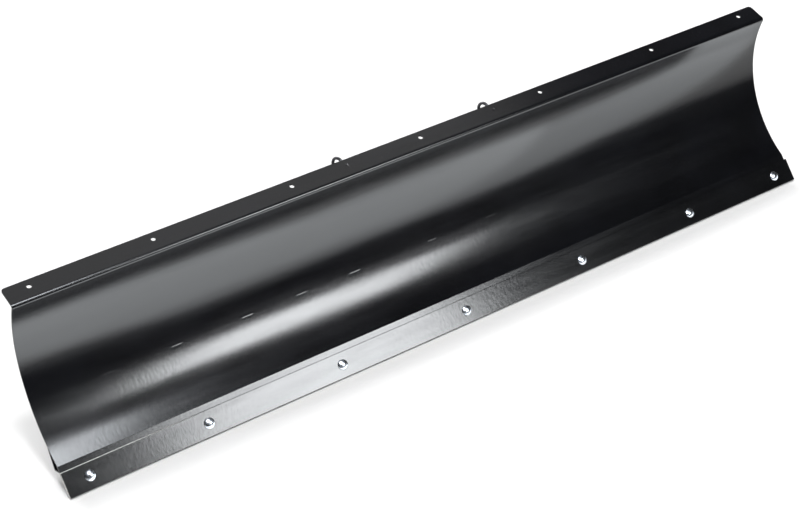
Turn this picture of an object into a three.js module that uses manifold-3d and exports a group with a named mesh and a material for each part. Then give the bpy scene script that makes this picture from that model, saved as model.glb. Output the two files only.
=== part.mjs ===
// Straight plow blade for an all-terrain vehicle, as an assembly of separate pieces.
//
// Units are millimetres. The pieces are drawn in the blade's working attitude, where the
// moldboard's chord is upright: X runs along the blade, Y points back, away from the snow,
// and Z points up. The finished group is then tipped back until the blade rests on the
// wear bar's lower edge and on the round ends of its four ribs, as it does when it lies on
// a floor. The origin is the middle of that footprint, at floor level.

import * as THREE from 'three';
import { mergeVertices } from 'three/addons/utils/BufferGeometryUtils.js';
import Module from 'manifold-3d';

const wasm = await Module();
wasm.setup();

const rad = THREE.MathUtils.degToRad;

// ---- Driving dimensions -----------------------------------------------------------------

const gap = 0.3;                 // clearance left between pieces that touch
const lean = rad(26.93);         // how far the chord tips back when the blade rests

const skinLength = 1825;         // moldboard along X
const skinThickness = 3;         // 11 gauge sheet
const curveRadius = 241.3;       // front face of the rolled part
const curveY = -183.4;           // centre of the roll
const curveZ = 169.5;
const curveLow = rad(-34);       // where the roll ends at the crease
const curveHigh = rad(47.4);     // where the roll ends at the flange bend
const curveSteps = 26;

const stripTilt = rad(16);       // flat bottom strip, from the vertical
const creaseToBolts = 37.9;      // down the strip
const boltsToSkinEdge = 13;      // the skin ends this far under the bolt row

const flangeRise = rad(39.3);    // the top flange climbs towards the back
const flangeBend = 6.35;         // outside radius of the flange bend
const flangeFlat = 41.5;         // flat width behind the bend
const flangeHoleInset = 16.5;    // hole row to the flange's back edge
const flangeCorner = 8;          // rounded back corners
const flangeHole = 9.4;          // diameter

const innerPitch = 304.8;        // bolt and hole rows: 12 inches, and 10 at each end
const outerPitch = 254;

const barLength = 1828.8;        // reversible wear bar, 72 by 2 inches
const barHeight = 50.8;
const barThickness = 4.5;

const boltShank = 9.2;           // 3/8 inch carriage bolt
const boltNeck = 9.2;            // square neck, across its flats
const boltHead = 21.4;
const boltHeadHeight = 4.9;
const boltLength = 25.4;
const boltHole = 10.6;
const neckHole = 9.8;
const flangeNutAcross = 14.3;
const flangeNutHeight = 9;
const flangeNutSkirt = 20;
const flangeNutRim = 1.6;        // height of the skirt's straight rim
const flangeNutSkirtTop = 3.4;   // where the skirt's cone meets the hexagon

const lowStiffenerY = 44;        // outer face of the bottom stiffener's upright web
const lowStiffenerZ = 21.8;      // underside of its foot
const lowStiffenerThickness = 3;
const lowStiffenerLength = 1823;
const lowStiffenerDrop = 2.4;    // the foot falls this far from the web to the strip

const midStiffenerZ = 150.8;     // flat bar on edge, welded behind the middle
const midStiffenerDepth = 38.1;
const midStiffenerThickness = 6.35;
const midStiffenerLength = 1785;

const ribPairX = 180.2;          // middle of each pair of ribs
const ribClear = 32;             // room between the two ribs of a pair
const ribThickness = 6.35;
const ribOffSkin = 3;            // the ribs stand clear of the skin
const ribTopY = 46;              // back edge of a rib beside the spring anchor
const ribTopZ = 345;
const ribKneeZ = 306;
const ribTopFrontY = 4.8;
const pivotY = 128;
const pivotZ = 78.6;
const pivotHole = 13.6;

const pinDiameter = 12.7;
const pinHeadDiameter = 19;
const pinHeadHeight = 5;
const pinTail = 12;              // pin left outside the inner rib
const cotterWire = 3;
const cotterHole = 4.2;
const cotterEye = 3.2;           // radius of the eye, to the middle of the wire
const cotterSpread = 5;          // how far each leg bends to its side

const weldMarkAside = 3.95;      // from a spring anchor's middle to the mark of its weld
const eyeY = 30.6;               // middle of the spring eye
const eyeZ = 373.4;
const eyeRing = 13.8;            // radius to the middle of the rod
const eyeRod = 6.35;
const eyeTwist = rad(15);        // turn of the ring about its shank
const eyeShankEnd = 309;
const eyeHole = 7.25;
const anchorZ = 320;             // underside of the cross plate that holds the eyebolt
const anchorThickness = 6.35;
const anchorBackY = 45;
const eyeNutAcross = 11.1;
const eyeNutHeight = 5.6;

// ---- Places worked out from them ----------------------------------------------------------

const backRadius = curveRadius + skinThickness;
const onCurve = (radius, angle) => [
  curveY + radius * Math.cos(angle),
  curveZ + radius * Math.sin(angle),
];
const crease = onCurve(curveRadius, curveLow);
const stripDown = [-Math.sin(stripTilt), -Math.cos(stripTilt)];
const stripBack = [Math.cos(stripTilt), -Math.sin(stripTilt)];
const boltRow = offset(crease, stripDown, creaseToBolts);
const flangeAlong = [Math.cos(flangeRise), Math.sin(flangeRise)];
const flangeUp = [-Math.sin(flangeRise), Math.cos(flangeRise)];
const bendCentre = onCurve(curveRadius + flangeBend, curveHigh);
const flangeStart = offset(bendCentre, flangeUp, flangeBend);
const flangeEdge = offset(flangeStart, flangeAlong, flangeFlat);
const flangeHoleRow = offset(flangeEdge, flangeAlong, -flangeHoleInset);
const rowX = [0, innerPitch, 2 * innerPitch, 2 * innerPitch + outerPitch];
const boltX = [...rowX.slice(1).reverse().map((x) => -x), ...rowX];

// Height above the floor once the blade is tipped back, for a point of the section.
const barLowCorner = offset(
  offset(boltRow, stripDown, barHeight / 2), stripBack, -gap);
const restZ = ([y, z]) => z * Math.cos(lean) - y * Math.sin(lean);
const earRadius = restZ([pivotY, pivotZ]) - restZ(barLowCorner);

// ---- Helpers ------------------------------------------------------------------------------

function offset([y, z], [dy, dz], distance) {
  return [y + dy * distance, z + dz * distance];
}

function arc([cy, cz], radius, from, to, steps) {
  const points = [];
  for (let i = 0; i <= steps; i += 1) {
    const angle = from + (to - from) * i / steps;
    points.push([cy + radius * Math.cos(angle), cz + radius * Math.sin(angle)]);
  }
  return points;
}

function outline(points, holes = []) {
  const shape = new THREE.Shape(points.map(([a, b]) => new THREE.Vector2(a, b)));
  for (const hole of holes) {
    shape.holes.push(new THREE.Path(hole.map(([a, b]) => new THREE.Vector2(a, b))));
  }
  return shape;
}

function extrude(shape, depth) {
  const geometry = new THREE.ExtrudeGeometry(shape, { depth, bevelEnabled: false });
  return geometry.translate(0, 0, -depth / 2);
}

// A (Y, Z) section drawn in the shape's own plane, extruded along X about X = 0.
function alongBlade(shape, length) {
  const turn = new THREE.Matrix4().makeBasis(
    new THREE.Vector3(0, 1, 0), new THREE.Vector3(0, 0, 1), new THREE.Vector3(1, 0, 0));
  return extrude(shape, length).applyMatrix4(turn);
}

// A cylinder along Y from y0 to y1.
function rod(diameter, y0, y1, sides = 20) {
  const geometry = new THREE.CylinderGeometry(diameter / 2, diameter / 2, y1 - y0, sides);
  return geometry.translate(0, (y0 + y1) / 2, 0);
}

function box(width, depth, height) {
  return new THREE.BoxGeometry(width, depth, height);
}

function toSolid(geometry) {
  const bare = geometry.clone();
  bare.deleteAttribute('normal');
  bare.deleteAttribute('uv');
  const merged = mergeVertices(bare, 1e-4);
  return new wasm.Manifold(new wasm.Mesh({
    numProp: 3,
    vertProperties: new Float32Array(merged.attributes.position.array),
    triVerts: new Uint32Array(merged.index.array),
  }));
}

function toGeometry(solid) {
  const mesh = solid.getMesh();
  const geometry = new THREE.BufferGeometry();
  geometry.setAttribute('position', new THREE.BufferAttribute(mesh.vertProperties, 3));
  geometry.setIndex(new THREE.BufferAttribute(mesh.triVerts, 1));
  const flat = geometry.toNonIndexed();
  flat.computeVertexNormals();
  return flat;
}

function cut(geometry, ...tools) {
  let solid = toSolid(geometry);
  for (const tool of tools) {
    solid = solid.subtract(toSolid(tool));
  }
  return toGeometry(solid);
}

function join(geometry, ...others) {
  let solid = toSolid(geometry);
  for (const other of others) {
    solid = solid.add(toSolid(other));
  }
  return toGeometry(solid);
}

function piece(name, geometry, material, place = [0, 0, 0]) {
  const mesh = new THREE.Mesh(geometry, material.clone());
  mesh.name = name;
  mesh.position.set(...place);
  return mesh;
}

// A group whose local axes follow a tilted part of the section.
function tiltedGroup([y, z], angle) {
  const group = new THREE.Group();
  group.position.set(0, y, z);
  group.rotation.x = angle;
  group.updateMatrix();
  return group;
}

function inGroup(group, geometry, x = 0) {
  return geometry.translate(x, 0, 0).applyMatrix4(group.matrix);
}

// ---- Materials ------------------------------------------------------------------------------

const blackPaint = new THREE.MeshStandardMaterial({ color: 0x101114, roughness: 0.3, metalness: 0.1 });
const barPaint = new THREE.MeshStandardMaterial({ color: 0x17181a, roughness: 0.4, metalness: 0.1 });
const zinc = new THREE.MeshStandardMaterial({ color: 0xb9bcc0, roughness: 0.25, metalness: 1 });
const darkSteel = new THREE.MeshStandardMaterial({ color: 0x3a3b3d, roughness: 0.4, metalness: 0.9 });

// ---- Moldboard ------------------------------------------------------------------------------

const stripGroup = tiltedGroup(boltRow, -stripTilt);       // +Y back through the strip
const flangeGroup = tiltedGroup(flangeHoleRow, flangeRise);  // +Z up out of the flange

function moldboardSection() {
  const centre = [curveY, curveZ];
  const bendFrom = curveHigh + Math.PI;
  const bendTo = flangeRise + Math.PI / 2;
  const edge = offset(boltRow, stripDown, boltsToSkinEdge);
  const halfTurn = (-curveLow - stripTilt) / 2;
  const bisector = [Math.cos(stripTilt + halfTurn), -Math.sin(stripTilt + halfTurn)];
  const front = [
    edge,
    ...arc(centre, curveRadius, curveLow, curveHigh, curveSteps),
    ...arc(bendCentre, flangeBend, bendFrom, bendTo, 7).slice(1),
    flangeEdge,
  ];
  const back = [
    offset(edge, stripBack, skinThickness),
    offset(crease, bisector, skinThickness / Math.cos(halfTurn)),
    ...arc(centre, backRadius, curveLow, curveHigh, curveSteps).slice(1),
    ...arc(bendCentre, flangeBend - skinThickness, bendFrom, bendTo, 7).slice(1),
    offset(flangeEdge, flangeUp, -skinThickness),
  ];
  return outline([...front, ...back.reverse()]);
}

// What is cut away to round a back corner of the flange; side is 1 or -1.
function cornerCutter(side) {
  const r = flangeCorner;
  const far = 2 * r;
  const round = arc([-r, -r], r, Math.PI / 2, 0, 6);
  const points = [...round, [far, -r], [far, far], [-r, far]];
  const x = skinLength / 2;
  const shape = outline(points.map(([a, b]) => [side * (x + a), flangeHoleInset + b]));
  return extrude(shape, 6 * skinThickness);
}

function flangeDrill(diameter, low, high) {
  return rod(diameter, low, high).rotateX(Math.PI / 2);
}

function moldboard() {
  const through = 3 * skinThickness;
  const weldSpotDepth = 1.2;
  const weldSpot = 6.4;
  const tools = [-1, 1].map((side) => inGroup(flangeGroup, cornerCutter(side)));
  for (const x of boltX) {
    tools.push(inGroup(flangeGroup, flangeDrill(flangeHole, -through, through), x));
    tools.push(inGroup(stripGroup, rod(boltHole, -through, through), x));
  }
  for (const side of [-1, 1]) {
    const x = side * ribPairX + weldMarkAside;
    tools.push(inGroup(flangeGroup, flangeDrill(weldSpot, -weldSpotDepth, through), x));
  }
  return piece('moldboard', cut(alongBlade(moldboardSection(), skinLength), ...tools), blackPaint);
}

// ---- Wear bar and its fasteners ---------------------------------------------------------------

function wearBar() {
  const bar = box(barLength, barThickness, barHeight);
  const holes = boltX.map((x) => box(neckHole, 3 * barThickness, neckHole).translate(x, 0, 0));
  return piece('wear_bar', cut(bar, ...holes), barPaint, [0, -gap - barThickness / 2, 0]);
}

// Domed head, square neck and round shank, along +Y from the head's underside at y = 0.
function carriageBoltGeometry() {
  const half = boltHead / 2;
  const rimHeight = 1.1;
  const cap = boltHeadHeight - rimHeight;
  const sphere = (half * half + cap * cap) / (2 * cap);
  const start = Math.asin(half / sphere);
  const steps = 5;
  const profile = [new THREE.Vector2(0, 0), new THREE.Vector2(half, 0)];
  for (let i = 0; i <= steps; i += 1) {
    const angle = start * (1 - i / steps);
    const x = i === steps ? 0 : sphere * Math.sin(angle);
    profile.push(new THREE.Vector2(x, rimHeight + sphere * Math.cos(angle) - sphere + cap));
  }
  const head = new THREE.LatheGeometry(profile, 22).rotateX(Math.PI);
  const neckLength = barThickness + gap;
  const neck = box(boltNeck, neckLength + 1, boltNeck).translate(0, (neckLength - 1) / 2, 0);
  return join(head, neck, rod(boltShank, 1, boltLength, 16));
}

function hexPrism(across, y0, y1) {
  return rod(across / Math.cos(Math.PI / 6), y0, y1, 6);
}

// Hexagon with a round skirt against the skin, along +Y from y = 0.
function flangeNutGeometry() {
  const rim = flangeNutSkirt / 2;
  const profile = [
    [0, 0], [rim, 0], [rim, flangeNutRim], [flangeNutAcross / 2, flangeNutSkirtTop],
    [0, flangeNutSkirtTop],
  ].map(([x, y]) => new THREE.Vector2(x, y));
  const skirt = new THREE.LatheGeometry(profile, 20);
  const body = join(skirt, hexPrism(flangeNutAcross, flangeNutRim, flangeNutHeight));
  return cut(body, rod(boltShank + 2 * gap, -1, flangeNutHeight + 1, 16));
}

function stripAssembly() {
  stripGroup.add(wearBar());
  const headY = -2 * gap - barThickness;
  const nutY = skinThickness + gap;
  boltX.forEach((x, i) => {
    stripGroup.add(piece(`carriage_bolt_${i + 1}`, carriageBoltGeometry(), zinc, [x, headY, 0]));
    stripGroup.add(piece(`flange_nut_${i + 1}`, flangeNutGeometry(), zinc, [x, nutY, 0]));
  });
  return stripGroup;
}

// ---- Stiffeners -----------------------------------------------------------------------------

// Y of the strip's back face at height z.
function stripBackY(z) {
  return crease[0] - (crease[1] - z) * Math.tan(stripTilt) + skinThickness / Math.cos(stripTilt);
}

// Height of the rolled skin's back face below its middle, at depth y.
function curveBackZ(y, clear) {
  const radius = backRadius + clear;
  return curveZ - Math.sqrt(radius * radius - (y - curveY) ** 2);
}

// Two plates that close a hollow rail behind the crease: an upright web under the rolled
// skin, and a foot from the web's lower edge forward to the strip.
function bottomStiffener() {
  const t = lowStiffenerThickness;
  const outer = lowStiffenerY;
  const inner = outer - t;
  const toe = lowStiffenerZ - lowStiffenerDrop;
  const web = [
    [inner, lowStiffenerZ],
    [outer, lowStiffenerZ],
    [outer, curveBackZ(outer, gap)],
    [inner, curveBackZ(inner, gap)],
  ];
  const foot = [
    [stripBackY(toe) + gap, toe],
    [inner - gap, lowStiffenerZ],
    [inner - gap, lowStiffenerZ + t],
    [stripBackY(toe + t) + gap, toe + t],
  ];
  return Object.entries({ web, foot }).map(([name, points]) => (
    piece(`bottom_stiffener_${name}`, alongBlade(outline(points), lowStiffenerLength), blackPaint)
  ));
}

function midStiffener() {
  const front = onCurve(backRadius, Math.asin((midStiffenerZ - curveZ) / backRadius))[0];
  const bar = box(midStiffenerLength, midStiffenerDepth, midStiffenerThickness);
  const y = front + 2 * gap + midStiffenerDepth / 2;
  return piece('mid_stiffener', bar, blackPaint, [0, y, midStiffenerZ]);
}

// ---- Ribs ---------------------------------------------------------------------------------------

// Directions from the pivot, in radians, in which the ear's circle is touched by a line
// through the point: the first turning clockwise from it, the second counterclockwise.
function touchAngles([y, z]) {
  const dy = y - pivotY;
  const dz = z - pivotZ;
  const towards = Math.atan2(dz, dy);
  const spread = Math.acos(earRadius / Math.hypot(dy, dz));
  return [towards - spread, towards + spread];
}

// The point of the flange's underside, less the gap, at depth y.
function underFlange(y) {
  const below = offset(flangeStart, flangeUp, -skinThickness - gap);
  return [y, below[1] + (y - below[0]) * Math.tan(flangeRise)];
}

function ribOutline() {
  const centre = [curveY, curveZ];
  const radius = backRadius + ribOffSkin;
  const angleAt = (z) => Math.asin((z - curveZ) / radius);
  const topFront = rad(44);
  const notchTop = midStiffenerZ + midStiffenerThickness / 2 + gap;
  const notchLow = midStiffenerZ - midStiffenerThickness / 2 - gap;
  const notchBack = backRadius + curveY + midStiffenerDepth + 3 * gap;
  const footY = lowStiffenerY + gap;
  const foot = [footY, lowStiffenerZ];
  const knee = [ribTopY, ribKneeZ];
  return [
    underFlange(onCurve(radius, topFront)[0]),
    ...arc(centre, radius, topFront, angleAt(notchTop), 10),
    [notchBack, notchTop],
    [notchBack, notchLow],
    ...arc(centre, radius, angleAt(notchLow), -Math.acos((footY - curveY) / radius), 5),
    foot,
    ...arc([pivotY, pivotZ], earRadius, touchAngles(foot)[1], touchAngles(knee)[0], 16),
    knee,
    [ribTopY, ribTopZ],
    underFlange(ribTopFrontY),
  ];
}

function ribGeometry() {
  const hole = arc([pivotY, pivotZ], pivotHole / 2, 0, 2 * Math.PI, 20).slice(1);
  return alongBlade(outline(ribOutline(), [hole]), ribThickness);
}

function ribs(side, sideName) {
  const reach = (ribClear + ribThickness) / 2;
  const places = { inner: -side * reach, outer: side * reach };
  return Object.entries(places).map(([name, x]) => (
    piece(`rib_${sideName}_${name}`, ribGeometry(), blackPaint, [side * ribPairX + x, 0, 0])
  ));
}

// ---- Pivot pins -----------------------------------------------------------------------------------

const pinGrip = ribClear + 2 * ribThickness + 2 * gap;
const cotterAt = pinGrip + pinTail / 2 + 1;

// Along +Y from the head's underside at y = 0, with a cross hole along Z near the tail.
function pivotPinGeometry() {
  const chamfer = 1;
  const r = pinDiameter / 2;
  const rim = pinHeadDiameter / 2;
  const end = pinGrip + pinTail;
  const profile = [
    [0, -pinHeadHeight], [rim - chamfer, -pinHeadHeight], [rim, chamfer - pinHeadHeight],
    [rim, 0], [r, 0], [r, end - chamfer], [r - chamfer, end], [0, end],
  ].map(([x, y]) => new THREE.Vector2(x, y));
  const crossHole = rod(cotterHole, -pinDiameter, pinDiameter, 12).rotateX(Math.PI / 2);
  return cut(new THREE.LatheGeometry(profile, 20), crossHole.translate(0, cotterAt, 0));
}

function wire(points, diameter, steps) {
  const path = new THREE.CatmullRomCurve3(points.map((p) => new THREE.Vector3(...p)));
  const section = outline(arc([0, 0], diameter / 2, 0, 2 * Math.PI, 6).slice(1));
  return new THREE.ExtrudeGeometry(section, { steps, extrudePath: path });
}

// A bent wire through the pin's cross hole: an eye below it and two spread legs above.
function cotterGeometry() {
  const r = pinDiameter / 2;
  const eyeZ0 = -r - 1.2 - cotterEye;
  const bend = r + 0.6;
  const loop = arc([0, eyeZ0], cotterEye, rad(-225), rad(65), 12).map(([y, z]) => [0, y, z]);
  const stem = [-1.08 * r, -0.6 * r, 0, 0.8 * r].map((z) => [0, 0, z]);
  const legs = [-1, 1].map((side) => (
    wire([[0, 0, 0.4 * r], [0, 0.2 * side, bend], [0, cotterSpread * side, r + 3]], cotterWire, 4)
  ));
  return join(wire([...loop, ...stem], cotterWire, 24), ...legs);
}

function pivotGroup(side) {
  const group = new THREE.Group();
  const outerFace = ribClear / 2 + ribThickness + gap;
  group.position.set(side * (ribPairX + outerFace), pivotY, pivotZ);
  group.rotation.set(lean, 0, side * Math.PI / 2);
  return group;
}

function pivotPins(side, sideName) {
  const group = pivotGroup(side);
  group.add(piece(`pivot_pin_${sideName}`, pivotPinGeometry(), zinc));
  group.add(piece(`cotter_pin_${sideName}`, cotterGeometry(), zinc, [0, cotterAt, 0]));
  return group;
}

// ---- Spring anchors -----------------------------------------------------------------------------

function standing(geometry) {
  return geometry.rotateX(Math.PI / 2);
}

function springAnchor(side, sideName) {
  const frontY = onCurve(backRadius, Math.asin((anchorZ - curveZ) / backRadius))[0] + ribOffSkin;
  const half = ribClear / 2 - gap;
  const corners = [[-half, frontY], [half, frontY], [half, anchorBackY], [-half, anchorBackY]];
  const hole = arc([0, eyeY], eyeHole / 2, 0, 2 * Math.PI, 16).slice(1);
  const plate = extrude(outline(corners, [hole]), anchorThickness);
  const place = [side * ribPairX, 0, anchorZ + anchorThickness / 2];
  return piece(`spring_anchor_${sideName}`, plate, blackPaint, place);
}

// Ring round the group's origin, a little off the X axis, on a shank that goes down from it.
function eyeboltGeometry() {
  const ring = new THREE.TorusGeometry(eyeRing, eyeRod / 2, 8, 28);
  ring.rotateY(Math.PI / 2).rotateZ(eyeTwist);
  return join(ring, standing(rod(eyeRod, eyeShankEnd - eyeZ, -eyeRing, 16)));
}

function eyeNutGeometry() {
  const hex = hexPrism(eyeNutAcross, 0, eyeNutHeight);
  return standing(cut(hex, rod(eyeHole, -1, eyeNutHeight + 1, 16)));
}

function eyebolts(side, sideName) {
  const x = side * ribPairX;
  const upper = anchorZ + anchorThickness + gap;
  const lower = anchorZ - gap - eyeNutHeight;
  return [
    springAnchor(side, sideName),
    piece(`spring_eyebolt_${sideName}`, eyeboltGeometry(), darkSteel, [x, eyeY, eyeZ]),
    piece(`eyebolt_nut_${sideName}_upper`, eyeNutGeometry(), zinc, [x, eyeY, upper]),
    piece(`eyebolt_nut_${sideName}_lower`, eyeNutGeometry(), zinc, [x, eyeY, lower]),
  ];
}

// ---- Assembly -----------------------------------------------------------------------------------

const working = new THREE.Group();
working.add(moldboard(), ...bottomStiffener(), midStiffener(), stripAssembly());
for (const [side, sideName] of [[-1, 'left'], [1, 'right']]) {
  working.add(...ribs(side, sideName), ...eyebolts(side, sideName), pivotPins(side, sideName));
}
working.rotation.x = -lean;

const blade = new THREE.Group();
blade.add(working);
blade.updateMatrixWorld(true);
const extent = new THREE.Box3().setFromObject(working, true);
working.position.set(0, -(extent.min.y + extent.max.y) / 2, -extent.min.z);

export default blade;
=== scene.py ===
import math
import random

import bmesh
import bpy
from mathutils import Matrix, Vector


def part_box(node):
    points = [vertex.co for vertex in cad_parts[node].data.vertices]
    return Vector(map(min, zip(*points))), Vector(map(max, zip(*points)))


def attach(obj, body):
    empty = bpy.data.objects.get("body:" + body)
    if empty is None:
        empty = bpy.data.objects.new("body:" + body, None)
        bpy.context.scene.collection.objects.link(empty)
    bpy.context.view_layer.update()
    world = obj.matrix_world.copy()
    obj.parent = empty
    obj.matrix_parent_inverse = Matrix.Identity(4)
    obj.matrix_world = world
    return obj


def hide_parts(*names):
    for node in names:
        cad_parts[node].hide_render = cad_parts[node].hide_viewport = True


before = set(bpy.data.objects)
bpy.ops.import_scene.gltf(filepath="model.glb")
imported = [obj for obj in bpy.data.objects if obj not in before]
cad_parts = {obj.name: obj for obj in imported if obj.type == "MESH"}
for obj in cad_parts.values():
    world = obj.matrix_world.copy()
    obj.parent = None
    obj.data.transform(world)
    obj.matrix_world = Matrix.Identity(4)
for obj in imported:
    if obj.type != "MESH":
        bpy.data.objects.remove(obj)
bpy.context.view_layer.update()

# An ATV plow blade lying on the floor, in metres. Sections are drawn in the blade's working
# attitude (X along the blade, Y back, Z up) and turned onto the floor by PLACE.

rad = math.radians
random.seed(4)

# ---- Driving sizes, as in the CAD ----

GAP = 0.0003                # between pieces that touch
LEAN = rad(26.93)           # how far the working attitude is tipped back onto the floor

# Moldboard: flat strip, roll, bend and flange, from the bottom up.
SKIN_LENGTH = 1.825
SKIN = 0.003                # sheet thickness
ROLL_RADIUS = 0.2413
ROLL_Y = -0.1834
ROLL_Z = 0.1695
ROLL_LOW = rad(-34)
ROLL_HIGH = rad(47.4)
STRIP_TILT = rad(16)
CREASE_TO_BOLTS = 0.0379
BOLTS_TO_EDGE = 0.013
CREASE_ROUND = 0.005
SKIN_EDGE_ROUND = 0.00045

FLANGE_RISE = rad(39.3)
FLANGE_BEND = 0.00635
FLANGE_FLAT = 0.0415
FLANGE_HOLE_INSET = 0.0165
FLANGE_HOLE = 0.0094
FLANGE_CORNER = 0.008

# Wear bar, carriage bolts and flange nuts.
BAR_HEIGHT = 0.0508
BAR_THICKNESS = 0.0045
BAR_CORNER = 0.0012
BAR_EDGE_ROUND = 0.0007
BOLT_HOLE = 0.0106
BOLT_HEAD = 0.0214
BOLT_HEAD_HEIGHT = 0.0049
BOLT_LENGTH = 0.0254
BOLT_SHANK = 0.0092
BOLT_PITCH = 0.0016
FLANGE_NUT_ACROSS = 0.0143
FLANGE_NUT_HEIGHT = 0.009
FLANGE_NUT_SKIRT = 0.020

# Bottom stiffener (LOW), in two plates, and the flat bar behind the middle (MID).
LOW_Y = 0.044
LOW_Z = 0.0218
LOW_THICKNESS = 0.003
LOW_DROP = 0.0024
MID_Z = 0.1508
MID_DEPTH = 0.0381
MID_THICKNESS = 0.00635

# Ribs, in pairs; points are (Y, Z).
RIB_CLEAR = 0.032           # between the two ribs of a pair
RIB = 0.00635               # thickness
RIB_EDGE_ROUND = 0.0005     # the anchors' too
RIB_OFF_SKIN = 0.003
RIB_TOP = (0.046, 0.345)
RIB_KNEE = (0.046, 0.306)
RIB_TOP_FRONT = 0.0048
PIVOT = (0.128, 0.0786)
PIVOT_HOLE = 0.0136

# Pivot pins and their split pins.
PIN = 0.0127
PIN_HEAD = 0.019
PIN_HEAD_HEIGHT = 0.005
PIN_TAIL = 0.012
COTTER_WIRE = 0.0019
COTTER_EYE = 0.0032

# Spring eyebolts, their lock nuts and the anchor plates.
WELD_MARK_ASIDE = 0.00395   # from an eyebolt to the weld mark on the flange
EYE_Y = 0.0306
EYE_Z = 0.3734
EYE_RING = 0.0138
EYE_ROD = 0.00635
EYE_TWIST = rad(15)         # turn of the ring about its shank
EYE_NECK = 0.0295           # from the eye's middle down to the end of the bent part
EYE_SHANK_END = 0.309
EYE_PITCH = 0.00127
EYE_HOLE = 0.00725
ANCHOR_Z = 0.320
ANCHOR = 0.00635
ANCHOR_BACK = 0.045
EYE_NUT_ACROSS = 0.0111
EYE_NUT_HEIGHT = 0.0056

# Stitch welds along the mid stiffener, as unevenly spaced as hand welds are.
STITCH_X = (-0.751, -0.605, -0.447, -0.321, -0.195, -0.003, 0.148, 0.301, 0.452, 0.604, 0.757)
STITCH_LENGTH = 0.026

# Half the width of each kind of weld bead.
FLANGE_WELD = 0.0024
ANCHOR_WELD = 0.0024
RIB_WELD = 0.0032
NOTCH_WELD = 0.003
STITCH_WELD = 0.0027
LOW_WELD = 0.0026
CORNER_WELD = 0.0018
TOE_WELD = 0.0024

SIDES = {"left": -1, "right": 1}


# ---- Places ----

def middle(node):
    low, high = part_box(node)
    return (low + high) / 2


def placing():
    """Turns the working attitude onto the floor, with the left pivot pin where the CAD has it."""
    turn = Matrix.Rotation(-LEAN, 4, "X")
    pin = middle("pivot_pin_left")
    shift = pin - turn @ Vector((0, *PIVOT))
    return Matrix.Translation((0, shift.y, shift.z)) @ turn


PLACE = placing()
BOLT_X = [middle(f"carriage_bolt_{i}").x for i in range(1, 8)]
RIB_X = {side: middle(f"spring_anchor_{side}").x for side in SIDES}


def step(point, direction, distance):
    return (point[0] + direction[0] * distance, point[1] + direction[1] * distance)


def on_roll(radius, angle):
    return (ROLL_Y + radius * math.cos(angle), ROLL_Z + radius * math.sin(angle))


BACK_RADIUS = ROLL_RADIUS + SKIN
STRIP_UP = (math.sin(STRIP_TILT), math.cos(STRIP_TILT))
STRIP_OUT = (-math.cos(STRIP_TILT), math.sin(STRIP_TILT))
CREASE = on_roll(ROLL_RADIUS, ROLL_LOW)
BOLT_ROW = step(CREASE, STRIP_UP, -CREASE_TO_BOLTS)
FLANGE_ALONG = (math.cos(FLANGE_RISE), math.sin(FLANGE_RISE))
FLANGE_UP = (-math.sin(FLANGE_RISE), math.cos(FLANGE_RISE))
BEND_CENTRE = on_roll(ROLL_RADIUS + FLANGE_BEND, ROLL_HIGH)
FLANGE_START = step(BEND_CENTRE, FLANGE_UP, FLANGE_BEND)
FLANGE_HOLE_AT = FLANGE_FLAT - FLANGE_HOLE_INSET
FLANGE_ROW = step(FLANGE_START, FLANGE_ALONG, FLANGE_HOLE_AT)
WELD_ANGLE = math.asin((MID_Z - ROLL_Z) / ROLL_RADIUS)
MID_SIDES = (MID_Z - MID_THICKNESS / 2, MID_Z + MID_THICKNESS / 2)

# The skin's two flat faces: a point on the row of holes, the way up the sheet, and out of it.
STRIP = (BOLT_ROW, STRIP_UP, STRIP_OUT)
FLANGE = (FLANGE_ROW, FLANGE_ALONG, FLANGE_UP)


def strip_back_y(z):
    across = SKIN / math.cos(STRIP_TILT)
    return CREASE[0] - (CREASE[1] - z) * math.tan(STRIP_TILT) + across


def roll_back_z(y, clear):
    radius = BACK_RADIUS + clear
    return ROLL_Z - math.sqrt(radius ** 2 - (y - ROLL_Y) ** 2)


# ---- Materials ----

class Tree:
    """A node tree, with short calls for the few kinds of node used here."""

    def __init__(self, owner):
        owner.use_nodes = True
        self.tree = owner.node_tree

    def add(self, kind, **settings):
        node = self.tree.nodes.new(kind)
        for key, value in settings.items():
            setattr(node, key, value)
        return node

    def link(self, source, target):
        self.tree.links.new(source, target)

    def feed(self, socket, value):
        """Gives a socket its value: a number, a colour or another node's output."""
        if isinstance(value, (int, float)):
            socket.default_value = value
        elif isinstance(value, tuple):
            socket.default_value = (*value, 1)
        else:
            self.link(value, socket)

    def remap(self, source, low, high, to_low, to_high):
        node = self.add("ShaderNodeMapRange", clamp=True)
        for socket, value in zip(("From Min", "From Max", "To Min", "To Max"),
                                 (low, high, to_low, to_high)):
            node.inputs[socket].default_value = value
        self.link(source, node.inputs["Value"])
        return node.outputs["Result"]

    def math(self, operation, a, b):
        node = self.add("ShaderNodeMath", operation=operation)
        self.feed(node.inputs[0], a)
        self.feed(node.inputs[1], b)
        return node.outputs["Value"]


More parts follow.
